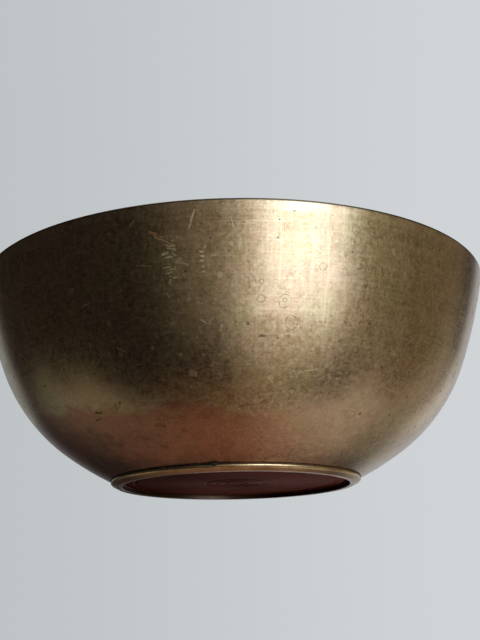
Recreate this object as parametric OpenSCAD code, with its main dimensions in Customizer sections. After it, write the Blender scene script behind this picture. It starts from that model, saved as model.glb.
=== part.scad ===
// Singing bowl: a thin turned brass bowl, brazed to a low foot ring.
// Millimetres, +Z up. The origin is on the floor, on the bowl's axis, and the front faces -Y.
// Every piece is a figure of revolution, so each is drawn as a half section: x is the radius.

/* [Bowl] */
// Outside diameter at the rim
rim_d = 165; // [150:0.5:180]
// Height from the floor to the rim
bowl_h = 63.8; // [60:0.2:68]
// Thickness of the wall and of the base
wall = 1.8; // [1.4:0.1:2.4]
// Rounding on both edges of the rim
lip_round = 0.5; // [0.2:0.1:0.6]

/* [Outline] */
// Slope of the wall at the rim, from level
rim_slope = 78.5; // [77:0.5:80]
// Slope where the upper arc meets the belly arc
shoulder_slope = 69; // [67:0.5:71]
// Slope where the belly arc meets the lower arc
lower_slope = 35.5; // [34:0.5:37]
// Slope of the wall where it meets the foot ring
foot_slope = 25.7; // [24:0.1:27]
// Radius of the lower arc, above the foot
lower_r = 102; // [90:1:120]
// Radius of the turn between the wall and the flat base
corner_r = 8; // [6:0.5:10]

/* [Base] */
// Height of the base's underside above the floor
base_lift = 1.2; // [1:0.1:1.5]
// Radii of the fine rings turned into the underside
ring_marks = [3.5, 6.5, 9.5, 32.4];
// Width of each fine ring's cutting tool
mark_tool_d = 0.6; // [0.3:0.1:0.8]
// Depth of each fine ring
mark_depth = 0.15; // [0.1:0.05:0.25]
// Width of the relief groove inside the foot ring
relief_w = 1.3; // [0.6:0.1:1.6]
// Depth of the relief groove
relief_depth = 0.35; // [0.1:0.05:0.5]

/* [Foot ring] */
// Outside diameter of the ring at its bead
foot_d = 80; // [76:0.5:84]
// How far the ring flares out from the floor to the bead
foot_flare = 1.9; // [1.6:0.1:2.2]
// Thickness of the ring at the floor
foot_wall = 1.7; // [1.4:0.1:2]
// Radius of the bead along the ring's top edge
bead_r = 0.5; // [0.4:0.05:0.6]
// Rounding on the ring's floor edges
floor_round = 0.2; // [0.1:0.05:0.3]

/* [Braze] */
// Radius of the braze in the joint
seam_r = 0.3; // [0.2:0.05:0.4]
// Radius of the lump that was left on the joint
lump_r = 1.2; // [0.8:0.1:1.5]
// Direction of the lump from the axis, from +X
lump_angle = 261; // [0:1:359]

/* [Hidden] */
$fn = 360;
EPS = 0.01;

// The outline is a chain of arcs, each tangent to the next, that runs up from the flat base.
// A point on an arc is given by the slope of the wall there: 0 is level, 90 upright, 180 on top.
function centre_of(p, r, slope) = p + r * [-sin(slope), cos(slope)];
function on_arc(c, r, slope) = c + r * [sin(slope), -cos(slope)];
function arc(c, r, from, to, n) = [for (i = [1:n]) on_arc(c, r, from + (to - from) * i / n)];
// The way from one end of an arc of radius 1 to its other end
function way(from, to) = [sin(to) - sin(from), cos(from) - cos(to)];

// The wall meets the foot ring over the bead's outer half, where the corner arc ends.
joint = [foot_d / 2 - bead_r / 2, base_lift + corner_r * (1 - cos(foot_slope))];
corner_c = centre_of(joint, corner_r, foot_slope);
lower_c = centre_of(joint, lower_r, foot_slope);
lower_top = on_arc(lower_c, lower_r, lower_slope);

// The belly and upper arcs have the only two radii that bring the outline to the rim.
belly_way = way(lower_slope, shoulder_slope);
upper_way = way(shoulder_slope, rim_slope);
to_rim = [rim_d / 2, bowl_h] - lower_top;
belly_r = cross(to_rim, upper_way) / cross(belly_way, upper_way);
upper_r = cross(belly_way, to_rim) / cross(belly_way, upper_way);
belly_c = centre_of(lower_top, belly_r, lower_slope);
upper_c = centre_of(lower_top + belly_r * belly_way, upper_r, shoulder_slope);

// The rim's two rounded edges: each starts at the slope where it touches its side of the wall.
lip_z = bowl_h - lip_round;
lip_reach = [upper_r - lip_round, upper_r - wall + lip_round];
lip_slope = [for (reach = lip_reach) acos((upper_c.y - lip_z) / reach)];
lip_c = [for (i = [0, 1]) on_arc(upper_c, lip_reach[i], lip_slope[i])];

foot_floor_r = foot_d / 2 - foot_flare;
foot_bore_r = foot_floor_r - foot_wall;
bead_c = [foot_d / 2 - bead_r, joint.y - 1.2 * bead_r];
// The braze lies just above the bead, at the shell's surface.
seam_c = bead_c + bead_r * [0.7, 1.1];

// The bowl's half section before the base is turned: its outside, its rim, and its inside back to
// the axis. The outside's arcs keep their centres on the inside, with radii smaller by the wall.
module shell_blank() {
    outside = concat(
        [[0, base_lift], [corner_c.x, base_lift]],
        arc(corner_c, corner_r, 0, foot_slope, 6),
        arc(lower_c, lower_r, foot_slope, lower_slope, 8),
        arc(belly_c, belly_r, lower_slope, shoulder_slope, 20),
        arc(upper_c, upper_r, shoulder_slope, lip_slope[0], 12)
    );
    lip = concat(
        arc(lip_c[0], lip_round, lip_slope[0], 180, 6),
        [lip_c[1] + [0, lip_round]],
        arc(lip_c[1], lip_round, 180, 180 + lip_slope[1], 6)
    );
    inside = concat(
        arc(upper_c, upper_r - wall, lip_slope[1], shoulder_slope, 12),
        arc(belly_c, belly_r - wall, shoulder_slope, lower_slope, 20),
        arc(lower_c, lower_r - wall, lower_slope, foot_slope, 8),
        arc(corner_c, corner_r - wall, foot_slope, 0, 6),
        [[0, base_lift + wall]]
    );
    polygon(concat(outside, lip, inside));
}

module shell_section() {
    difference() {
        shell_blank();
        for (r = ring_marks)
            translate([r, base_lift + mark_depth - mark_tool_d / 2]) circle(d = mark_tool_d);
        translate([foot_bore_r - relief_w, base_lift - EPS]) square([relief_w, relief_depth + EPS]);
    }
}

module ring_section() {
    difference() {
        union() {
            polygon([
                [foot_bore_r, floor_round],
                [foot_bore_r + floor_round, 0],
                [foot_floor_r - floor_round, 0],
                [foot_floor_r, floor_round],
                [foot_d / 2, bead_c.y],
                [bead_c.x, bead_c.y + bead_r],
                [foot_bore_r, bead_c.y + bead_r],
            ]);
            translate(bead_c) circle(bead_r);
        }
        shell_section();
        translate([foot_bore_r - EPS, base_lift]) square([relief_w, relief_depth + EPS]);
    }
}

module bowl_shell() {
    color("#8f7440") rotate_extrude() shell_section();
}

module foot_ring() {
    color("#a58a4e") rotate_extrude() ring_section();
}

module braze_seam() {
    color("#2c2620") difference() {
        union() {
            rotate_extrude() translate(seam_c) circle(seam_r);
            rotate(lump_angle) translate([seam_c.x - lump_r / 2, 0, seam_c.y]) sphere(lump_r);
        }
        bowl_shell();
        foot_ring();
    }
}

bowl_shell();
foot_ring();
braze_seam();
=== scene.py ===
"""Singing bowl: the looks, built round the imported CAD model. Metres, +Z up, the front faces -Y."""

import math
import random

import bpy
import numpy as np
from mathutils import Matrix, Vector, noise


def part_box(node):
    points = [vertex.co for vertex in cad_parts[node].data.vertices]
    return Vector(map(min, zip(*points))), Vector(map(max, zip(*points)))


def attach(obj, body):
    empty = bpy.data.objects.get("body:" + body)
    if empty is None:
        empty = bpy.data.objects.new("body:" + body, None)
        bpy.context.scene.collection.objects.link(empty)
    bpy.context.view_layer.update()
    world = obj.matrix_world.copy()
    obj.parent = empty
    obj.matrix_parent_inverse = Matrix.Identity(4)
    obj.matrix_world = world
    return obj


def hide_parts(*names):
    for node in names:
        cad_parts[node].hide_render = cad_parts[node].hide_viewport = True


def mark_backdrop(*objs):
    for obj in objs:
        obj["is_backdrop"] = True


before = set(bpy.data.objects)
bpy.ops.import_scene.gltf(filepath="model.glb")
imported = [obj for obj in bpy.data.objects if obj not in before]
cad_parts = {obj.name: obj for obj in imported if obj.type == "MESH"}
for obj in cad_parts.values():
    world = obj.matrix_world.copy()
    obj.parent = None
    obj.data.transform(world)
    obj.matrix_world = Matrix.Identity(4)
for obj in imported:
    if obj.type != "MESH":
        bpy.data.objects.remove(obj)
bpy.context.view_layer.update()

MM = 0.001
SEGMENTS = 288
SHELL_LOW, SHELL_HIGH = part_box("bowl_shell")
_, RING_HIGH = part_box("foot_ring")

# The outline of the bowl, as in the CAD: its rim, its base, and the slopes where its arcs meet
RIM_R = 82.5 * MM
RIM_Z = SHELL_HIGH.z
BASE_Z = SHELL_LOW.z
THICK = 1.8 * MM
LIP_ROUND = 0.5 * MM
RIM_SLOPE, SHOULDER_SLOPE, LOWER_SLOPE, FOOT_SLOPE = 78.5, 69.0, 35.5, 25.7
LOWER_R, CORNER_R = 102 * MM, 8 * MM

# The foot ring, which meets the wall over the outer half of its bead, and the braze above it
FOOT_FLARE, FOOT_WALL = 1.9 * MM, 1.7 * MM
FLOOR_ROUND = 0.2 * MM
RING_TOP_R = RING_HIGH.x
RING_FLOOR_R = RING_TOP_R - FOOT_FLARE
RING_BORE = RING_FLOOR_R - FOOT_WALL
BEAD_R = 0.5 * MM
JOINT = (RING_TOP_R - BEAD_R / 2, BASE_Z + CORNER_R * (1 - math.cos(math.radians(FOOT_SLOPE))))
BEAD_Z = JOINT[1] - 1.2 * BEAD_R
SEAM_R = RING_TOP_R - 0.3 * BEAD_R
SEAM_Z = BEAD_Z + 1.1 * BEAD_R
# The directions of the lump of braze and of the seam's thickest stretch, from +X in degrees
LUMP_ANGLE = 261.0
THICKEST_ANGLE = 205.0

# Turned rings under the base and on the inside floor: radius, width and depth in mm
UNDER_RINGS = ((3.5, 0.35, 0.15), (6.5, 0.3, 0.12), (9.5, 0.35, 0.15), (32.4, 0.4, 0.2))
INSIDE_RINGS = ((2.5, 0.4, 0.12), (12.0, 0.35, 0.08), (24.0, 0.5, 0.1), (35.5, 0.6, 0.12))
# The relief groove inside the foot ring: its inner and outer edge, the run of each, and its depth
RELIEF_INNER, RELIEF_OUTER = 35.0 * MM, 36.35 * MM
INNER_RUN, OUTER_RUN = 0.25 * MM, 0.1 * MM
RELIEF_DEPTH = 0.35 * MM

# The unevenness of the hand-finished wall in mm, with all of it moved inward to stay in the CAD's box,
# and the unevenness of the foot ring
WANDER, FINE_WANDER, NICK, INWARD = 0.05, 0.018, 0.07, 0.06
RING_WANDER = 0.03

# How far apart the outline's points are
WALL_STEP, INSIDE_STEP, CORNER_STEP, FLOOR_STEP = 1.0 * MM, 1.4 * MM, 0.8 * MM, 0.4 * MM
BASE_STEP, LIP_STEP = 0.2 * MM, 0.1 * MM


# ---------------------------------------------------------------- outlines


def centre_of(point, radius, slope):
    s = math.radians(slope)
    return point[0] - radius * math.sin(s), point[1] + radius * math.cos(s)


def on_arc(centre, radius, slope):
    s = math.radians(slope)
    return centre[0] + radius * math.sin(s), centre[1] - radius * math.cos(s)


def arc(centre, radius, start, end, step=WALL_STEP):
    """Points along an arc after its first one, between two slopes, about one step apart."""
    count = max(2, math.ceil(abs(radius) * math.radians(abs(end - start)) / step))
    return [on_arc(centre, radius, start + (end - start) * i / count) for i in range(1, count + 1)]


def line(a, b, step):
    """Points along a straight line after its first one, about one step apart."""
    count = max(1, math.ceil(math.dist(a, b) / step))
    shares = [i / count for i in range(1, count + 1)]
    return [(a[0] + (b[0] - a[0]) * share, a[1] + (b[1] - a[1]) * share) for share in shares]


def slope_at(centre, radius, z):
    """The slope of an arc at a height."""
    return math.degrees(math.acos((centre[1] - z) / radius))


def way(start, end):
    """The way from one end of an arc of radius 1 to its other end, between two slopes."""
    a, b = math.radians(start), math.radians(end)
    return math.sin(b) - math.sin(a), math.cos(a) - math.cos(b)


def cross(a, b):
    return a[0] * b[1] - a[1] * b[0]


# The belly and upper arcs have the only two radii that bring the outline to the rim.
CORNER_C = centre_of(JOINT, CORNER_R, FOOT_SLOPE)
LOWER_C = centre_of(JOINT, LOWER_R, FOOT_SLOPE)
LOWER_TOP = on_arc(LOWER_C, LOWER_R, LOWER_SLOPE)
BELLY_WAY, UPPER_WAY = way(LOWER_SLOPE, SHOULDER_SLOPE), way(SHOULDER_SLOPE, RIM_SLOPE)
TO_RIM = RIM_R - LOWER_TOP[0], RIM_Z - LOWER_TOP[1]
BELLY_R = cross(TO_RIM, UPPER_WAY) / cross(BELLY_WAY, UPPER_WAY)
UPPER_R = cross(BELLY_WAY, TO_RIM) / cross(BELLY_WAY, UPPER_WAY)
BELLY_C = centre_of(LOWER_TOP, BELLY_R, LOWER_SLOPE)
UPPER_C = centre_of((RIM_R, RIM_Z), UPPER_R, RIM_SLOPE)


def ring_cuts(r, rings):
    """How deep the turned rings are cut at a radius."""
    return sum(cut * math.exp(-(((r / MM - ring) / width) ** 2)) for ring, width, cut in rings) * MM


def underside_depth(r):
    """How far the turned rings and the relief groove are cut up into the underside at a radius."""
    rise = min(max((r - RELIEF_INNER) / INNER_RUN, 0), 1)
    fall = min(max((RELIEF_OUTER - r) / OUTER_RUN, 0), 1)
    return ring_cuts(r, UNDER_RINGS) + RELIEF_DEPTH * rise * fall


def outer_wall(top_slope):
    """The outside of the wall, from the flat base up to a slope on the upper arc."""
    points = arc(CORNER_C, CORNER_R, 0, FOOT_SLOPE)
    points += arc(LOWER_C, LOWER_R, FOOT_SLOPE, LOWER_SLOPE)
    points += arc(BELLY_C, BELLY_R, LOWER_SLOPE, SHOULDER_SLOPE)
    return points + arc(UPPER_C, UPPER_R, SHOULDER_SLOPE, top_slope)


def inner_wall(top_slope):
    """The inside of the wall, from a slope on the upper arc down to the flat floor."""
    points = arc(UPPER_C, UPPER_R - THICK, top_slope, SHOULDER_SLOPE, INSIDE_STEP)
    points += arc(BELLY_C, BELLY_R - THICK, SHOULDER_SLOPE, LOWER_SLOPE, INSIDE_STEP)
    points += arc(LOWER_C, LOWER_R - THICK, LOWER_SLOPE, FOOT_SLOPE, INSIDE_STEP)
    return points + arc(CORNER_C, CORNER_R - THICK, FOOT_SLOPE, 0, CORNER_STEP)


def shell_outline():
    """The closed half section in three stretches: underside, outside with the rim, and inside."""
    flat = line((0, BASE_Z), (CORNER_C[0], BASE_Z), BASE_STEP)
    underside = [(0.0, BASE_Z)] + [(r, z + underside_depth(r)) for r, z in flat]
    lip_z = RIM_Z - LIP_ROUND
    reach_out, reach_in = UPPER_R - LIP_ROUND, UPPER_R - THICK + LIP_ROUND
    slope_out, slope_in = slope_at(UPPER_C, reach_out, lip_z), slope_at(UPPER_C, reach_in, lip_z)
    lip_out, lip_in = on_arc(UPPER_C, reach_out, slope_out), on_arc(UPPER_C, reach_in, slope_in)
    outside = outer_wall(slope_out)
    outside += arc(lip_out, LIP_ROUND, slope_out, 180, LIP_STEP)
    outside += line((lip_out[0], RIM_Z), (lip_in[0], RIM_Z), BASE_STEP)
    outside += arc(lip_in, LIP_ROUND, 180, 180 + slope_in, LIP_STEP)
    floor = line((CORNER_C[0], BASE_Z + THICK), (0, BASE_Z + THICK), FLOOR_STEP)
    inside = inner_wall(slope_in) + [(r, z - ring_cuts(r, INSIDE_RINGS)) for r, z in floor]
    return underside, outside, inside


def ring_outline():
    """The foot ring's half section, closed, with its hidden top just inside the shell's wall."""
    side_step, bead_step = 0.3 * MM, 0.1 * MM
    waist = (RING_TOP_R - 0.42 * MM, BEAD_Z - 0.62 * MM)
    points = [(RING_BORE, BASE_Z + RELIEF_DEPTH)]
    points += line(points[-1], (RING_BORE, FLOOR_ROUND), side_step)
    points += arc((RING_BORE + FLOOR_ROUND, FLOOR_ROUND), FLOOR_ROUND, 270, 360, 0.08 * MM)
    points += line(points[-1], (RING_FLOOR_R - FLOOR_ROUND, 0), side_step)
    points += arc((RING_FLOOR_R - FLOOR_ROUND, FLOOR_ROUND), FLOOR_ROUND, 0, 50, 0.06 * MM)
    points += line(points[-1], waist, 0.25 * MM)
    points += arc((RING_TOP_R - BEAD_R, BEAD_Z), BEAD_R, 42, 180, bead_step)
    return points + [(RING_BORE + 0.3 * MM, BEAD_Z + 0.2 * MM)]


# ---------------------------------------------------------------- meshes


def lathe(name, outline, segments=SEGMENTS, shift=None, closed=False):
    """Turns (radius, height) points about Z. shift(angle, r, z) returns the nudged radius and height."""
    verts, rings = [], []
    for r, z in outline:
        if r < 1e-9:
            rings.append([len(verts)])
            verts.append((0.0, 0.0, z))
            continue
        rings.append(list(range(len(verts), len(verts) + segments)))
        for i in range(segments):
            a = 2 * math.pi * i / segments
            rr, zz = shift(a, r, z) if shift else (r, z)
            verts.append((rr * math.cos(a), rr * math.sin(a), zz))
    faces, rows = [], []
    pairs = list(zip(rings, rings[1:])) + ([(rings[-1], rings[0])] if closed else [])
    for row, (low, high) in enumerate(pairs):
        for i in range(segments):
            j = (i + 1) % segments
            quad = [low[i % len(low)], low[j % len(low)], high[j % len(high)], high[i % len(high)]]
            faces.append(tuple(dict.fromkeys(quad)))
            rows.append(row)
    mesh = bpy.data.meshes.new(name)
    mesh.from_pydata(verts, [], faces)
    mesh.validate()
    mesh.shade_smooth()
    piece = bpy.data.objects.new(name, mesh)
    bpy.context.scene.collection.objects.link(piece)
    return piece, rows


def hand_finish(angle, r, z):
    """The slight unevenness of a wall that was turned, then scraped and polished by hand."""
    at = Vector((math.cos(angle) * 1.6, math.sin(angle) * 1.6, (z + 0.8 * r) * 22))
    wander = noise.noise(at) * WANDER + noise.noise(at * 3.1) * FINE_WANDER
    nick = 0.0
    if z > RIM_Z - 1.0 * MM:
        along_rim = Vector((math.cos(angle), math.sin(angle), 0.4))
        nick = NICK * max(0.0, noise.noise(along_rim * 21) - 0.42)
    inward = wander - nick - INWARD
    return r + inward * MM * min(1.0, r / (40 * MM)), z - nick * MM


def make_shell(materials):
    """The shell, with one material each for the underside, the outside and the inside."""
    underside, outside, inside = shell_outline()
    piece, rows = lathe("singing_bowl_shell", underside + outside + inside, shift=hand_finish)
    for material in materials:
        piece.data.materials.append(material)
    ends = (len(underside) - 1, len(underside) + len(outside) - 1)
    for polygon, row in zip(piece.data.polygons, rows):
        polygon.material_index = sum(row >= end for end in ends)
    return piece


def make_ring(material):
    def wander(angle, r, z):
        at = Vector((math.cos(angle) * 3, math.sin(angle) * 3, z * 400))
        return r + (noise.noise(at) - 1) * RING_WANDER * MM * min(1.0, z / MM), z

    piece, _ = lathe("turned_foot_ring", ring_outline(), shift=wander, closed=True)
    piece.data.materials.append(material)
    return piece


def make_seam(material):
    """A thin uneven run of braze in the joint, thicker at the left front, with one lump on it."""
    sides = 14

    def size_at(angle):
        at = Vector((math.cos(angle), math.sin(angle), 0.7))
        run = 0.23 + 0.04 * math.cos(angle - math.radians(THICKEST_ANGLE))
        run += 0.05 * noise.noise(at * 9) + 0.03 * noise.noise(at * 31)
        away = (math.degrees(angle) - LUMP_ANGLE) * math.radians(SEAM_R / MM)
        lump, shoulder = math.exp(-((away / 1.15) ** 2)), math.exp(-(((away + 1.9) / 0.8) ** 2))
        return (run + 0.62 * lump + 0.16 * shoulder) * MM

    verts, faces = [], []
    count = SEGMENTS * 2
    for i in range(count):
        a = 2 * math.pi * i / count
        size = size_at(a)
        for k in range(sides):
            t = 2 * math.pi * k / sides
            lumpy = 1 + 0.16 * noise.noise(Vector((math.cos(a) * 30, math.sin(a) * 30, k * 0.9)))
            r, z = SEAM_R + size * lumpy * math.cos(t), SEAM_Z + size * 0.8 * lumpy * math.sin(t)
            verts.append((r * math.cos(a), r * math.sin(a), z))
            j, m = (i + 1) % count, (k + 1) % sides
            faces.append((i * sides + k, j * sides + k, j * sides + m, i * sides + m))
    mesh = bpy.data.meshes.new("braze_seam_run")
    mesh.from_pydata(verts, [], faces)
    mesh.shade_smooth()
    mesh.materials.append(material)
    piece = bpy.data.objects.new("braze_seam_run", mesh)
    bpy.context.scene.collection.objects.link(piece)
    return piece


# ---------------------------------------------------------------- wear marks

# The outside wall's points from the base up, and how far along the wall each one is
WALL = np.array([(CORNER_C[0], BASE_Z)] + outer_wall(RIM_SLOPE))
WALL_RUN = np.concatenate([[0], np.cumsum(np.hypot(*np.diff(WALL, axis=0).T))])
# How far a mark stands off the wall; how finely it is divided, in mm and in steps round a ring;
# the width in mm from which it has inner rows; and the seeds for where marks are and for their edges
MARK_LIFT = 0.012 * MM
MARK_STEP, RING_COLUMNS = 0.35, 28
WIDE_MARK = 0.6
PLACE_SEED, EDGE_SEED = 11, 5

# Marks by kind, each at an azimuth from the front in degrees and a height in mm: then the length
# along its own line and the width in mm, and how far that line is turned from level in degrees.
MARKS = {
    "scratch": [
        (-7.2, 58.6, 5.6, 0.5, 72), (-12.4, 53.7, 4.6, 0.2, -29), (-18.2, 59.6, 3.8, 0.16, 42),
        (-9.3, 47.9, 4.0, 0.18, -16), (-16.9, 48.2, 5.2, 0.14, -9), (-11.9, 52.6, 3.0, 0.3, -18),
        (-11.2, 51.6, 2.6, 0.26, -12), (-12.5, 50.6, 2.2, 0.7, 20), (-11.9, 49.6, 2.4, 0.6, 8),
        (-10.8, 50.2, 1.5, 0.35, -30), (-12.2, 47.2, 2.8, 0.3, 8), (-11.2, 46.7, 2.4, 0.3, -14),
        (-12.0, 45.8, 2.6, 0.3, 12), (-10.9, 44.6, 1.6, 0.35, 5), (-11.9, 43.8, 1.2, 0.35, 60),
        (-5.6, 50.5, 1.5, 0.5, 4), (-5.5, 49.4, 1.3, 0.45, -4), (-5.6, 48.2, 1.4, 0.4, 12),
        (-5.4, 46.8, 1.0, 0.35, 0), (-5.4, 45.5, 0.9, 0.35, 0), (-5.0, 51.6, 1.2, 0.26, 68),
        (-12.6, 40.4, 1.6, 0.26, -65), (-5.9, 33.6, 2.0, 0.25, -32), (-3.3, 49.5, 2.0, 0.2, 2),
        (-31.0, 41.0, 3.2, 0.24, 15), (-24.5, 28.5, 3.6, 0.18, -35), (17.5, 22.5, 5.0, 0.16, 12),
    ],
    "fine": [
        (0.4, 56.6, 5.4, 0.34, 108), (1.6, 52.2, 3.4, 0.5, 86), (-0.6, 54.0, 2.2, 0.3, 40),
        (34.8, 53.8, 9.0, 0.3, 108), (30.2, 47.0, 8.0, 0.3, 96), (27.5, 50.5, 7.0, 0.26, 78),
        (32.6, 49.0, 6.0, 0.3, 118),
    ],
    "dash": [],
    "stain": [
        (-42.0, 10.0, 3.4, 3.0, -10), (-41.2, 8.0, 3.6, 2.8, 20), (-47.4, 12.4, 2.6, 2.0, 0),
        (-31.8, 16.0, 2.4, 2.0, 0), (-29.0, 8.6, 2.2, 1.6, 0), (-22.0, 11.0, 2.8, 1.4, 12),
        (-15.0, 9.6, 2.0, 1.6, 0), (-24.4, 6.4, 3.0, 1.2, -6),
    ],
    "copper": [
        (-14.6, 56.1, 2.6, 0.8, -20), (-13.9, 54.9, 2.8, 0.5, -42),
    ],
    "pale": [
        (-2.3, 44.3, 1.5, 1.5, 0), (-0.2, 52.1, 1.3, 1.2, 0), (-8.5, 38.9, 1.2, 1.3, 0),
        (-12.3, 33.7, 1.6, 1.3, 30), (-26.2, 35.6, 1.3, 1.1, 0), (-33.6, 45.6, 1.8, 1.3, 20),
        (-9.2, 21.7, 2.2, 2.0, 0), (8.3, 20.2, 1.6, 1.5, 0), (14.1, 17.6, 1.2, 1.2, 0),
        (36.6, 48.1, 1.7, 2.3, 0), (33.0, 53.5, 1.2, 2.6, 15), (46.0, 46.0, 1.2, 2.0, 0),
    ],
    "ring": [
        (23.9, 57.6, 2.6, 2.5, 0), (24.3, 55.0, 2.4, 2.6, 0), (11.9, 33.3, 3.2, 3.9, 0),
        (5.5, 38.8, 2.2, 2.2, 0), (5.6, 42.9, 1.5, 1.5, 0), (33.1, 13.4, 3.5, 2.8, 0),
        (-44.9, 9.6, 5.2, 4.2, -30), (-30.0, 26.0, 2.6, 2.4, 0), (-55.0, 12.0, 3.0, 2.4, 0),
        (45.0, 30.0, 2.4, 3.0, 0), (-20.0, 12.5, 3.4, 2.2, 10),
    ],
    "dark": [
        (8.8, 58.3, 0.5, 0.4, 0), (11.5, 60.7, 0.8, 0.45, 30), (3.0, 32.8, 0.9, 0.9, 0),
        (6.0, 29.9, 2.0, 0.9, 10), (24.2, 21.6, 2.6, 0.9, 0), (28.3, 24.5, 0.5, 0.5, 0),
        (-38.7, 15.5, 2.8, 0.8, -10), (-40.5, 14.0, 2.6, 0.4, 8), (3.6, 14.4, 5.6, 0.35, 9),
        (7.4, 15.3, 2.6, 0.35, 28), (6.1, 16.2, 2.0, 0.3, -70), (-52.3, 24.6, 0.9, 0.8, 0),
    ],
}
# Middles of the clusters of short dashes and of the spatters of pale specks, as azimuth and height
DASHES = [(-11.3, 49.0), (62, 44), (118, 50), (171, 41), (233, 47), (288, 52)]
SPATTER = [(-4.0, 32.0), (33.0, 34.0), (95, 30), (150, 42), (205, 26), (262, 38), (310, 30)]
FINE_COUNT, DASH_COUNT, SPECK_COUNT = 260, 26, 60
# Round marks that may lie anywhere: their kind, how many, and the least and greatest size in mm
SCATTERED = (("pale", 70, 0.5, 1.6), ("ring", 46, 1.2, 3.6), ("dark", 150, 0.25, 0.8))
# The heights in mm between which marks are scattered
MARKED = (4, 61)


def scattered_marks():
    """The placed marks and seeded ones all round, so that every side is as worn as the front."""
    rng = random.Random(PLACE_SEED)
    found = {kind: list(table) for kind, table in MARKS.items()}
    for _ in range(FINE_COUNT):
        azimuth, height = rng.uniform(0, 360), rng.uniform(*MARKED)
        length = rng.uniform(1.5, 6.0)
        found["fine"].append((azimuth, height, length, rng.uniform(0.08, 0.2), rng.gauss(0, 35)))
    for middle, high in DASHES:
        for _ in range(DASH_COUNT):
            place = rng.gauss(middle, 1.4), rng.gauss(high, 3.4)
            size = rng.uniform(0.4, 1.5), rng.uniform(0.12, 0.34)
            found["dash"].append((*place, *size, rng.gauss(0, 30)))
    for middle, high in SPATTER:
        for _ in range(SPECK_COUNT):
            place, size = (rng.gauss(middle, 7.0), rng.gauss(high, 7.0)), rng.uniform(0.3, 0.7)
            found["pale"].append((*place, size, size * rng.uniform(0.8, 1.5), rng.uniform(-60, 60)))
    for kind, count, small, large in SCATTERED:
        for _ in range(count):
            size = rng.uniform(small, large)
            shape = size * rng.uniform(0.75, 1.25), rng.uniform(-40, 40)
            found[kind].append((rng.uniform(0, 360), rng.uniform(*MARKED), size, *shape))
    return found


def at_run(run):
    """The outside wall's radius and height at a distance up the wall."""
    return np.interp(run, WALL_RUN, WALL[:, 0]), np.interp(run, WALL_RUN, WALL[:, 1])


def on_wall(azimuth, run):
    """A point just proud of the outside wall, at an azimuth and a distance up the wall."""
    (r_up, z_up), (r_down, z_down) = at_run(run + 0.3 * MM), at_run(run - 0.3 * MM)
    ahead, rise = r_up - r_down, z_up - z_down
    size = math.hypot(ahead, rise)
    angle = math.radians(azimuth) - math.pi / 2
    r, z = hand_finish(angle, *at_run(run))
    r, z = r + MARK_LIFT * rise / size, z - MARK_LIFT * ahead / size
    return r * math.cos(angle), r * math.sin(angle), z


def ring_points(length, width, phase, columns):
    """The wavering outer and inner edge of a ring, as points along and across it in mm."""
    for i in range(columns):
        t = 2 * math.pi * i / columns
        c, s = math.cos(t), math.sin(t)
        outer = 1 + 0.16 * noise.noise(Vector((c * 1.2, s * 1.2, phase)))
        thick = 0.55 * (0.75 + noise.noise(Vector((c * 1.7, s * 1.7, phase + 40))))
        for size in (outer, outer - thick / max(length, width)):
            yield length / 2 * c * size, width / 2 * s * size


def patch_points(length, width, phase, columns, rows):
    """Rows of points over a bent ellipse with a wavering edge, along and across it in mm."""
    for i in range(columns + 1):
        t = -math.cos(math.pi * i / columns)
        waver = 0.45 * noise.noise(Vector((t * length * 0.6, phase, 0.5)))
        half = width / 2 * math.sin(math.pi * i / columns) * (1 + waver)
        bend = width * 0.35 * noise.noise(Vector((t * length * 0.3, phase, 7.5)))
        for j in range(rows):
            yield length / 2 * t, bend + half * (2 * j / (rows - 1) - 1)


def add_mark(verts, faces, mark, hollow, rng):
    """One mark as a thin patch that lies on the wall: filled, or only a ring."""
    azimuth, height, length, width, turned = mark
    middle = float(np.interp(height * MM, WALL[:, 1], WALL_RUN))
    r = float(at_run(middle)[0])
    c, s = math.cos(math.radians(turned)), math.sin(math.radians(turned))
    phase = rng.uniform(0, 99)
    if hollow:
        columns, rows = RING_COLUMNS, 2
        points, count = ring_points(length, width, phase, columns), columns
    else:
        columns, rows = max(12, math.ceil(length / MARK_STEP)), 2 if width < WIDE_MARK else 5
        points, count = patch_points(length, width, phase, columns, rows), columns + 1

    start = len(verts)
    for along, across in points:
        u, v = (along * c - across * s) * MM, (along * s + across * c) * MM
        verts.append(on_wall(azimuth + math.degrees(u / r), middle + v))
    for i in range(columns):
        for j in range(rows - 1):
            a, b = start + i * rows + j, start + (i + 1) % count * rows + j
            faces.append((a, b, b + 1, a + 1))


def make_marks(materials):
    """Scratches, rubbed spots, ring stains and pits, each a thin patch lying on the wall."""
    rng = random.Random(EDGE_SEED)
    verts, faces, kinds = [], [], []
    for index, (kind, table) in enumerate(scattered_marks().items()):
        for mark in table:
            add_mark(verts, faces, mark, kind == "ring", rng)
        kinds += [index] * (len(faces) - len(kinds))
    mesh = bpy.data.meshes.new("wear_marks")
    mesh.from_pydata(verts, [], faces)
    mesh.shade_smooth()
    for material in materials:
        mesh.materials.append(material)
    mesh.polygons.foreach_set("material_index", kinds)
    piece = bpy.data.objects.new("wear_marks", mesh)
    bpy.context.scene.collection.objects.link(piece)
    return piece


# ---------------------------------------------------------------- node helpers


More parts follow.
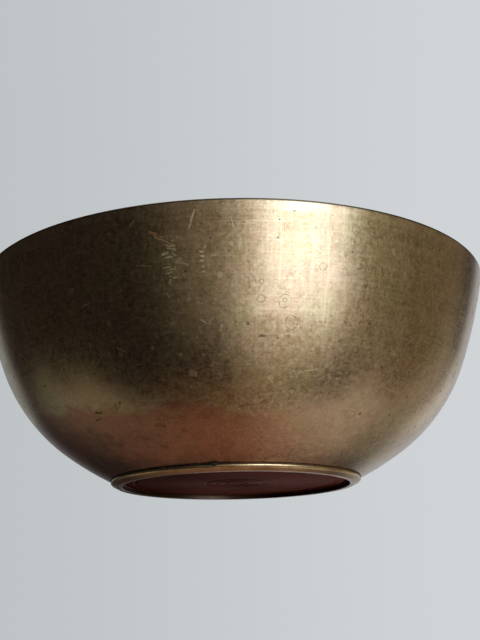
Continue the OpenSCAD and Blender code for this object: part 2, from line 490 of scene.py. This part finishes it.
class Tree:
    """Short calls for building one node tree. A socket or a plain value may be given as any input."""

    def __init__(self, tree):
        self.tree = tree
        tree.nodes.clear()

    def make(self, kind, inputs=None, **settings):
        node = self.tree.nodes.new(kind)
        for key, value in settings.items():
            setattr(node, key, value)
        for key, value in (inputs or {}).items():
            by_id = {s.identifier: s for s in node.inputs}
            socket = node.inputs[key] if isinstance(key, int) or key in node.inputs else by_id[key]
            if isinstance(value, bpy.types.NodeSocket):
                self.tree.links.new(value, socket)
            else:
                socket.default_value = value
        return node

    def math(self, operation, a, b=0.0):
        return self.make("ShaderNodeMath", {0: a, 1: b}, operation=operation).outputs[0]

    def total(self, values):
        out = values[0]
        for value in values[1:]:
            out = self.math("ADD", out, value)
        return out

    def product(self, *values):
        out = values[0]
        for value in values[1:]:
            out = self.math("MULTIPLY", out, value)
        return out

    def step(self, value, low, high, out_low=0.0, out_high=1.0):
        """A smooth step: out_low below low, out_high above high."""
        inputs = {"Value": value, 1: low, 2: high, 3: out_low, 4: out_high}
        node = self.make("ShaderNodeMapRange", inputs, interpolation_type="SMOOTHSTEP")
        return node.outputs[0]

    def band(self, value, low, high, soft):
        """1 between low and high, 0 outside, with soft edges."""
        rise = self.step(value, low - soft, low + soft)
        return self.math("MULTIPLY", rise, self.step(value, high - soft, high + soft, 1.0, 0.0))

    def vector(self, x, y, z):
        return self.make("ShaderNodeCombineXYZ", {0: x, 1: y, 2: z}).outputs[0]

    def noise(self, vector, scale, detail=3.0, rough=0.5, distortion=0.0):
        inputs = {"Vector": vector, "Scale": scale, "Detail": detail, "Roughness": rough,
                  "Distortion": distortion}
        return self.make("ShaderNodeTexNoise", inputs).outputs[0]

    def mix(self, factor, a, b):
        inputs = {"Factor_Float": factor, "A_Color": a, "B_Color": b}
        node = self.make("ShaderNodeMix", inputs, data_type="RGBA")
        return next(s for s in node.outputs if s.identifier == "Result_Color")

    def cover(self, base, tint, mask, amount):
        """The base with a colour laid over it by an amount, where the mask is 1."""
        return self.mix(self.math("MULTIPLY", mask, amount), base, tint)

    def swing(self, value, reach):
        """Noise about 0 instead of about a half, scaled to a reach."""
        return self.math("MULTIPLY", self.math("SUBTRACT", value, 0.5), reach)

    def bump(self, height, strength, distance, normal=None):
        inputs = {"Height": height, "Strength": strength, "Distance": distance}
        if normal is not None:
            inputs["Normal"] = normal
        return self.make("ShaderNodeBump", inputs).outputs[0]


def colour(r, g, b):
    """A colour given as it looks on screen, 0 to 255, for a node that wants it linear."""
    return tuple(((v / 255 + 0.055) / 1.055) ** 2.4 if v > 10 else v / 3294.6 for v in (r, g, b)) + (1.0,)


# ---------------------------------------------------------------- materials

# The outside's colours
TAN, OLIVE = colour(186, 160, 120), colour(172, 153, 107)
REDDISH, BROWN, UMBER = colour(166, 128, 94), colour(132, 108, 72), colour(112, 88, 60)
PALE, TURNED, WIPED = colour(216, 194, 152), colour(222, 200, 158), colour(216, 194, 150)
PALE_FLECK, DARK_FLECK, PIT = colour(226, 208, 164), colour(96, 80, 54), colour(90, 74, 50)
CLOUD_BROWN, JOINT_BROWN = colour(88, 70, 50), colour(84, 58, 44)
COPPER, PALE_COPPER, COPPER_PIT = colour(140, 76, 58), colour(168, 102, 78), colour(84, 44, 34)
RUBBED, RIM_PAINTED_SHADE = colour(222, 200, 156), colour(52, 43, 31)

# The outside's noises, from coarse to fine: scale in 1/m, detail, roughness and distortion
OUTSIDE_NOISES = {
    "broad": (24.0, 4.0, 0.6, 0.5),
    "hue": (60.0, 4.0, 0.65, 0.8),
    "patch": (130.0, 5.0, 0.65, 0.5),
    "grain": (560.0, 6.0, 0.78, 0.5),
    "mottle": (1250.0, 3.0, 0.6, 0.3),
    "speck": (2600.0, 2.0, 0.6),
}

# The middle of the darkest cloud of tarnish, low at the front left, and where it fades out
CLOUD = (-15 * MM, -66 * MM, 25 * MM)
CLOUD_FADE = 8 * MM, 26 * MM
# Heights between which the copper red fades out upward, and X between which it fades to the right
COPPER_TOP = 12.2 * MM, 15.8 * MM
COPPER_RIGHT = -10 * MM, 30 * MM
# Towards the left, between these X, the copper red reaches higher by this much
COPPER_LEFT, COPPER_RISE = (-42 * MM, -18 * MM), 3 * MM
# Heights between which the darker brown just above the foot fades out
JOINT_FADE = 2.4 * MM, 6.4 * MM

# How each kind of mark differs from the wall round it: colour, how much of it, extra roughness
MARK_LOOKS = {
    "scratch": ((240, 216, 160), 0.52, 0.22),
    "fine": ((228, 206, 158), 0.26, 0.10),
    "dash": ((240, 214, 150), 0.46, 0.20),
    "stain": ((98, 60, 48), 0.30, 0.03),
    "copper": ((218, 160, 100), 0.6, 0.22),
    "pale": ((222, 200, 152), 0.28, 0.09),
    "ring": ((84, 66, 44), 0.55, 0.05),
    "dark": ((64, 50, 38), 0.65, 0.15),
}


def turned_places(t):
    """The piece's own coordinates and its radius, with turned lines and wiped streaks round it."""
    place = t.make("ShaderNodeTexCoord").outputs["Object"]
    x, y, z = t.make("ShaderNodeSeparateXYZ", {0: place}).outputs
    r = t.math("SQRT", t.total([t.product(x, x), t.product(y, y)]))
    run = t.math("ADD", z, t.math("MULTIPLY", r, 0.8))
    round_r = t.math("MAXIMUM", r, 2 * MM)
    over_x, over_y = t.math("DIVIDE", x, round_r), t.math("DIVIDE", y, round_r)
    lines = t.vector(t.product(x, 40.0), t.product(y, 40.0), t.math("MULTIPLY", run, 2300.0))
    wipes = t.vector(t.product(over_x, 85.0), t.product(over_y, 85.0), t.math("MULTIPLY", run, 45.0))
    return {"place": place, "x": x, "z": z, "r": r,
            "lines": t.noise(lines, 1.0, 4.0, 0.65), "wipes": t.noise(wipes, 1.0, 4.0, 0.65)}


def finish_metal(t, base, rough, normal, anisotropy, edge_tint=(255, 255, 255)):
    """The metal shader, with highlights stretched across the turned lines."""
    tangent = t.make("ShaderNodeTangent", direction_type="RADIAL", axis="Z").outputs[0]
    inputs = {"Base Color": base, "Metallic": 1.0, "Roughness": rough, "Normal": normal,
              "Tangent": tangent, "Anisotropic": anisotropy, "Anisotropic Rotation": 0.25,
              "Specular Tint": colour(*edge_tint)}
    shader = t.make("ShaderNodeBsdfPrincipled", inputs)
    t.make("ShaderNodeOutputMaterial", {"Surface": shader.outputs[0]})


def new_material(name):
    material = bpy.data.materials.new(name)
    material.use_nodes = True
    return material, Tree(material.node_tree)


def tarnished(t, n):
    """The wall's colour: tan and olive with reddish and brown areas, and flecks and pits."""
    base = t.mix(t.step(n["hue"], 0.38, 0.62), TAN, OLIVE)
    base = t.cover(base, REDDISH, t.step(n["broad"], 0.46, 0.62), 0.45)
    base = t.cover(base, BROWN, t.step(n["patch"], 0.46, 0.68), 0.4)
    base = t.cover(base, PALE, t.step(n["grain"], 0.46, 0.64), 0.30)
    base = t.cover(base, UMBER, t.step(n["grain"], 0.48, 0.36), 0.26)
    mottled = t.step(n["patch"], 0.38, 0.56, 0.30, 1.0)
    base = t.cover(base, PALE_FLECK, t.product(t.step(n["mottle"], 0.54, 0.66), mottled), 0.34)
    base = t.cover(base, DARK_FLECK, t.product(t.step(n["mottle"], 0.46, 0.34), mottled), 0.26)
    return t.cover(base, PIT, t.step(n["speck"], 0.58, 0.70), 0.30)


def streaked(t, base, p):
    """Pale turned lines and wiped streaks, stronger higher up."""
    upper = t.step(p["z"], 14 * MM, 36 * MM, 0.06, 0.26)
    base = t.cover(base, TURNED, t.step(p["lines"], 0.50, 0.66), upper)
    return t.cover(base, WIPED, t.step(p["wipes"], 0.50, 0.68), upper)


def clouded(t, base, p, n):
    """The dark cloud of tarnish low at the front left."""
    inputs = {0: p["place"], 1: CLOUD}
    off = t.make("ShaderNodeVectorMath", inputs, operation="DISTANCE").outputs["Value"]
    off = t.math("ADD", off, t.swing(n["patch"], 30 * MM))
    amount = t.step(n["hue"], 0.30, 0.62, 0.46, 0.12)
    return t.cover(base, CLOUD_BROWN, t.step(off, *CLOUD_FADE, 1.0, 0.0), amount)


def coppered(t, base, p, n):
    """Copper red low on the wall, most of it at the left, and a darker brown band just above the foot."""
    edge = t.total([p["z"], t.swing(n["hue"], 14 * MM), t.swing(n["patch"], 6 * MM)])
    reach = t.step(p["x"], *COPPER_RIGHT, 1.0, 0.16)
    copper_edge = t.math("ADD", edge, t.step(p["x"], *COPPER_LEFT, -COPPER_RISE, 0.0))
    copper = t.product(t.step(copper_edge, *COPPER_TOP, 1.0, 0.0), reach)
    red = t.mix(t.step(n["patch"], 0.4, 0.6), COPPER, PALE_COPPER)
    base = t.cover(base, red, copper, 0.62)
    base = t.cover(base, COPPER_PIT, t.product(t.step(n["speck"], 0.54, 0.64), copper), 0.45)
    # Darker brown just above the foot, fading out upward.
    base = t.mix(t.step(edge, *JOINT_FADE, 0.34, 0.0), base, JOINT_BROWN)
    return base, copper


def rimmed(t, base, p, n):
    """A paler rubbed band under the rim, and painted shade darkening the rim's outer edge."""
    rim = t.math("MULTIPLY", t.step(p["z"], RIM_Z - 0.80 * MM, RIM_Z - 0.50 * MM),
                 t.step(p["r"], RIM_R - 1.0 * MM, RIM_R - 0.6 * MM, 0.25, 1.0))
    height = t.math("ADD", p["z"], t.swing(n["patch"], 4 * MM))
    rubbed = t.band(height, RIM_Z - 2.8 * MM, RIM_Z - 1.0 * MM, 0.5 * MM)
    base = t.cover(base, RUBBED, rubbed, 0.2)
    # Painted shade: the rim's outer edge is darkened in the colour itself.
    return t.cover(base, RIM_PAINTED_SHADE, rim, 0.9), rim


def outside_brass(kind=None):
    """Worn satin brass for the outside wall, or the same with the look of one kind of mark."""
    material, t = new_material("bowl_outside_brass" if kind is None else f"bowl_mark_{kind}")
    p = turned_places(t)
    n = {name: t.noise(p["place"], *values) for name, values in OUTSIDE_NOISES.items()}
    base = clouded(t, streaked(t, tarnished(t, n), p), p, n)
    base, copper = coppered(t, base, p, n)
    base, rim = rimmed(t, base, p, n)
    rough = t.total([0.19, t.product(n["patch"], 0.08), t.product(t.step(n["grain"], 0.35, 0.65), 0.07),
                     t.product(t.step(n["mottle"], 0.35, 0.65), 0.05), t.product(copper, 0.05),
                     t.product(rim, 0.12)])
    if kind is not None:
        tint, amount, rougher = MARK_LOOKS[kind]
        base = t.mix(amount, base, colour(*tint))
        rough = t.math("ADD", rough, rougher)
    normal = t.bump(p["lines"], 0.3, 0.02 * MM)
    normal = t.bump(p["wipes"], 0.25, 0.02 * MM, normal)
    normal = t.bump(n["grain"], 0.35, 0.03 * MM, normal)
    finish_metal(t, base, rough, normal, 0.6)
    return material


def underside_brass():
    """The unpolished underside: dark red-brown oxide with the rings of the turning tool."""
    material, t = new_material("bowl_underside_brass")
    p = turned_places(t)
    broad = t.noise(p["place"], 70.0, 4.0, 0.6, 0.5)
    grain = t.noise(p["place"], 600.0, 4.0, 0.65)
    base = t.mix(t.step(broad, 0.35, 0.65), colour(100, 62, 50), colour(72, 52, 46))
    base = t.cover(base, colour(104, 76, 62), t.step(p["lines"], 0.5, 0.65), 0.4)
    base = t.cover(base, colour(40, 30, 28), t.step(grain, 0.55, 0.7), 0.4)
    rough = t.total([0.30, t.product(grain, 0.2)])
    normal = t.bump(p["lines"], 0.5, 0.04 * MM)
    finish_metal(t, base, rough, t.bump(grain, 0.25, 0.05 * MM, normal), 0.5, (176, 128, 116))
    return material


def inside_brass():
    """The inside: duller and evener than the outside, with turning rings and a browner floor."""
    material, t = new_material("bowl_inside_brass")
    p = turned_places(t)
    broad = t.noise(p["place"], 26.0, 4.0, 0.55, 0.4)
    patch = t.noise(p["place"], 110.0, 5.0, 0.6)
    grain = t.noise(p["place"], 480.0, 4.0, 0.65)
    base = t.mix(t.step(broad, 0.35, 0.65), colour(190, 164, 116), colour(166, 141, 98))
    base = t.cover(base, colour(134, 108, 72), t.step(patch, 0.46, 0.68), 0.5)
    base = t.mix(t.step(p["z"], 4 * MM, 30 * MM, 0.45, 0.0), base, colour(120, 90, 58))
    base = t.cover(base, colour(206, 182, 134), t.step(p["lines"], 0.52, 0.66), 0.3)
    rough = t.total([0.32, t.product(patch, 0.14), t.product(grain, 0.08)])
    normal = t.bump(p["lines"], 0.4, 0.03 * MM)
    finish_metal(t, base, rough, t.bump(grain, 0.25, 0.04 * MM, normal), 0.45)
    return material


def ring_brass():
    """The foot ring: a painted highlight on its bead, coppery near the floor, and painted shade in its
    bore.
    """
    material, t = new_material("foot_ring_brass")
    p = turned_places(t)
    patch = t.noise(p["place"], 130.0, 5.0, 0.6, 0.4)
    grain = t.noise(p["place"], 900.0, 3.0, 0.6)
    base = t.mix(t.step(patch, 0.35, 0.65), colour(192, 165, 116), colour(156, 128, 88))
    # Painted highlight: the upper half of the bead is painted pale.
    painted_bead_highlight = t.step(p["z"], BEAD_Z - 0.1 * MM, BEAD_Z + 0.1 * MM)
    low = t.step(p["z"], 0.25 * MM, 0.6 * MM, 1.0, 0.0)
    # Painted shade: the ring's bore is painted nearly black.
    bore_shade = t.step(p["r"], RING_BORE + 0.1 * MM, RING_BORE + 0.35 * MM, 1.0, 0.0)
    base = t.cover(base, colour(232, 208, 156), painted_bead_highlight, 0.7)
    base = t.cover(base, colour(166, 112, 80), low, 0.45)
    base = t.cover(base, colour(104, 78, 50), t.step(grain, 0.55, 0.7), 0.35)
    base = t.cover(base, colour(40, 30, 26), bore_shade, 0.9)
    rough = t.total([0.22, t.product(patch, 0.12), t.product(grain, 0.08)])
    normal = t.bump(p["lines"], 0.3, 0.02 * MM)
    finish_metal(t, base, rough, t.bump(grain, 0.25, 0.03 * MM, normal), 0.3)
    return material


def braze_oxide_and_shade():
    """Old braze: dark oxide, partly painted shade of the crevice it sits in, and browner to the right of
    its lump.
    """
    material, t = new_material("braze_oxide_and_shade")
    p = turned_places(t)
    patch = t.noise(p["place"], 500.0, 4.0, 0.6)
    grain = t.noise(p["place"], 2600.0, 3.0, 0.6)
    # The near-black is partly the braze's own oxide and partly painted shade of the crevice.
    base = t.mix(t.step(patch, 0.4, 0.65), colour(44, 38, 34), colour(74, 60, 44))
    base = t.cover(base, colour(28, 25, 24), t.step(grain, 0.55, 0.7), 0.5)
    base = t.mix(t.step(p["x"], -5 * MM, 4 * MM, 0.0, 0.75), base, colour(104, 76, 50))
    rough = t.total([0.5, t.product(patch, 0.25)])
    finish_metal(t, base, rough, t.bump(grain, 0.5, 0.06 * MM), 0.0)
    return material


# ---------------------------------------------------------------- stage

FLOOR_R = 1.2
FLOOR_FADE = 0.35, 1.1
FLOOR_COLOUR = (222, 217, 208)

# Soft panels of light, far off: each one's azimuth from the front to the right, its elevation, and
# its soft edges sideways and upward, all in degrees; then its colour and its strength
PANELS = {
    "window": ((13, 48.5), (-21, 50), (7, 14), (194, 212, 255), 4.1),
    "window_core": ((22, 34), (-8, 40), (7, 12), (190, 234, 255), 2.0),
    "window_glow": ((3, 51), (-43, 50), (9, 12), (240, 242, 255), 0.78),
    "window_spill": ((-22, 66), (-46, 40), (20, 18), (255, 248, 238), 0.24),
    "lap": ((4, 66), (-74, -42), (14, 9), (250, 244, 232), 0.36),
    "right_fill": ((50, 124), (-38, 60), (10, 12), (255, 240, 212), 0.205),
    "right_low": ((88, 143), (-84, -39), (10, 7), (240, 240, 250), 0.78),
    "right_shelf": ((118, 150), (-38, 0), (7, 6), (248, 246, 242), 0.36),
    "left_low": ((-136, -94), (-86, -31), (7, 6), (244, 242, 232), 0.31),
    "left_shelf": ((-140, -110), (-32, -15), (5, 5), (238, 244, 236), 0.2),
    "under": ((140, 220), (-90, -42), (8, 8), (255, 210, 188), 0.29),
    "back_right": ((139, 182), (-20, 60), (2, 7), (214, 220, 228), 0.85),
    "back_left": ((-178, -138), (-4, 60), (3, 6), (206, 214, 218), 0.55),
    "ceiling": ((-400, 400), (55, 100), (5, 12), (245, 247, 250), 1.5),
}
# The room and the ground below as the metal sees them, and the backdrop from left to right, painted
# darker at the left as painted shade
ROOM = (46, 42, 44)
BELOW = (116, 90, 76)
BACKDROP = ((190, 195, 198), (208, 212, 215))

# The camera: its lens and sensor in mm, its place in rim radii, and its turns in degrees
LENS, SENSOR = 52.0, 36.0
CAMERA_BACK, CAMERA_DROP = 3.632, 0.431
CAMERA_TURN, CAMERA_TILT, CAMERA_ROLL = 0.45, 17.0, -1.18


def make_floor():
    """A pale floor that fades out. It is one-sided, so a camera below it sees the bowl."""
    bpy.ops.mesh.primitive_circle_add(vertices=96, radius=FLOOR_R, fill_type="NGON", location=(0, 0, 0))
    floor = bpy.context.object
    floor.name = "floor"
    material, t = new_material("pale_floor")
    place = t.make("ShaderNodeTexCoord").outputs["Object"]
    away = t.make("ShaderNodeVectorMath", {0: place}, operation="LENGTH").outputs["Value"]
    above = t.math("SUBTRACT", 1.0, t.make("ShaderNodeNewGeometry").outputs["Backfacing"])
    shown = t.math("MULTIPLY", t.step(away, *FLOOR_FADE, 1.0, 0.0), above)
    matt = t.make("ShaderNodeBsdfDiffuse", {"Color": colour(*FLOOR_COLOUR)})
    clear = t.make("ShaderNodeBsdfTransparent")
    both = t.make("ShaderNodeMixShader", {0: shown, 1: clear.outputs[0], 2: matt.outputs[0]})
    t.make("ShaderNodeOutputMaterial", {"Surface": both.outputs[0]})
    floor.data.materials.append(material)
    floor.visible_glossy = False
    floor.visible_diffuse = False
    floor.visible_shadow = False
    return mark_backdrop(floor)


def panel_shape(t, azimuth, elevation, sides, levels, soft):
    """1 inside one panel of light and 0 outside, also where it runs past straight behind."""
    low, high = sides
    around = t.band(azimuth, low, high, soft[0])
    if high > 180:
        around = t.math("MAXIMUM", around, t.band(azimuth, low - 360, high - 360, soft[0]))
    return t.product(around, t.band(elevation, *levels, soft[1]))


def make_world():
    """The studio as the metal sees it, and a plain pale backdrop for the camera."""
    world = bpy.data.worlds.new("studio")
    world.use_nodes = True
    t = Tree(world.node_tree)
    direction = t.make("ShaderNodeTexCoord").outputs["Generated"]
    x, y, z = t.make("ShaderNodeSeparateXYZ", {0: direction}).outputs
    azimuth = t.math("DEGREES", t.math("ARCTAN2", x, t.math("MULTIPLY", y, -1.0)))
    elevation = t.math("DEGREES", t.math("ARCSINE", z))
    light = t.mix(t.step(elevation, -80, -55, 1.0, 0.0), colour(*ROOM), colour(*BELOW))
    for sides, levels, soft, tint, strength in PANELS.values():
        shape = t.product(panel_shape(t, azimuth, elevation, sides, levels, soft), strength)
        inputs = {0: colour(*tint)[:3], "Scale": shape}
        glow = t.make("ShaderNodeVectorMath", inputs, operation="SCALE").outputs[0]
        light = t.make("ShaderNodeVectorMath", {0: light, 1: glow}, operation="ADD").outputs[0]
    # Painted shade: the backdrop is darker to the left than to the right.
    seen = t.mix(t.step(x, -0.3, 0.3), colour(*BACKDROP[0]), colour(*BACKDROP[1]))
    lamp = t.make("ShaderNodeBackground", {"Color": light, "Strength": 1.0})
    back = t.make("ShaderNodeBackground", {"Color": seen, "Strength": 1.0})
    camera_ray = t.make("ShaderNodeLightPath").outputs["Is Camera Ray"]
    both = t.make("ShaderNodeMixShader", {0: camera_ray, 1: lamp.outputs[0], 2: back.outputs[0]})
    t.make("ShaderNodeOutputWorld", {"Surface": both.outputs[0]})
    bpy.context.scene.world = world


def make_camera():
    """A hand-held telephoto view from just below the foot, as the photograph was taken."""
    data = bpy.data.cameras.new("camera")
    data.lens, data.sensor_width = LENS, SENSOR
    data.clip_start = 0.01
    camera = bpy.data.objects.new("camera", data)
    bpy.context.scene.collection.objects.link(camera)
    turn, tilt, roll = (math.radians(v) for v in (CAMERA_TURN, CAMERA_TILT, CAMERA_ROLL))
    place = Matrix.Translation((0, -CAMERA_BACK * RIM_R, -CAMERA_DROP * RIM_R))
    aim = Matrix.Rotation(-turn, 4, "Z") @ Matrix.Rotation(math.pi / 2 + tilt, 4, "X")
    camera.matrix_world = place @ aim @ Matrix.Rotation(roll, 4, "Z")
    bpy.context.scene.camera = camera


# ---------------------------------------------------------------- the object


make_camera()
make_world()
make_floor()
PIECES = {
    "bowl_shell": (make_shell([underside_brass(), outside_brass(), inside_brass()]), "bowl_brass"),
    "foot_ring": (make_ring(ring_brass()), "ring_brass"),
    "braze_seam": (make_seam(braze_oxide_and_shade()), "braze"),
}
for node, (piece, slot) in PIECES.items():
    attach(piece, "root")
    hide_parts(node)
wear = make_marks([outside_brass(kind) for kind in MARKS])
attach(wear, "root")
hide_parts("bowl_shell")
bpy.context.scene.view_settings.view_transform = "Standard"
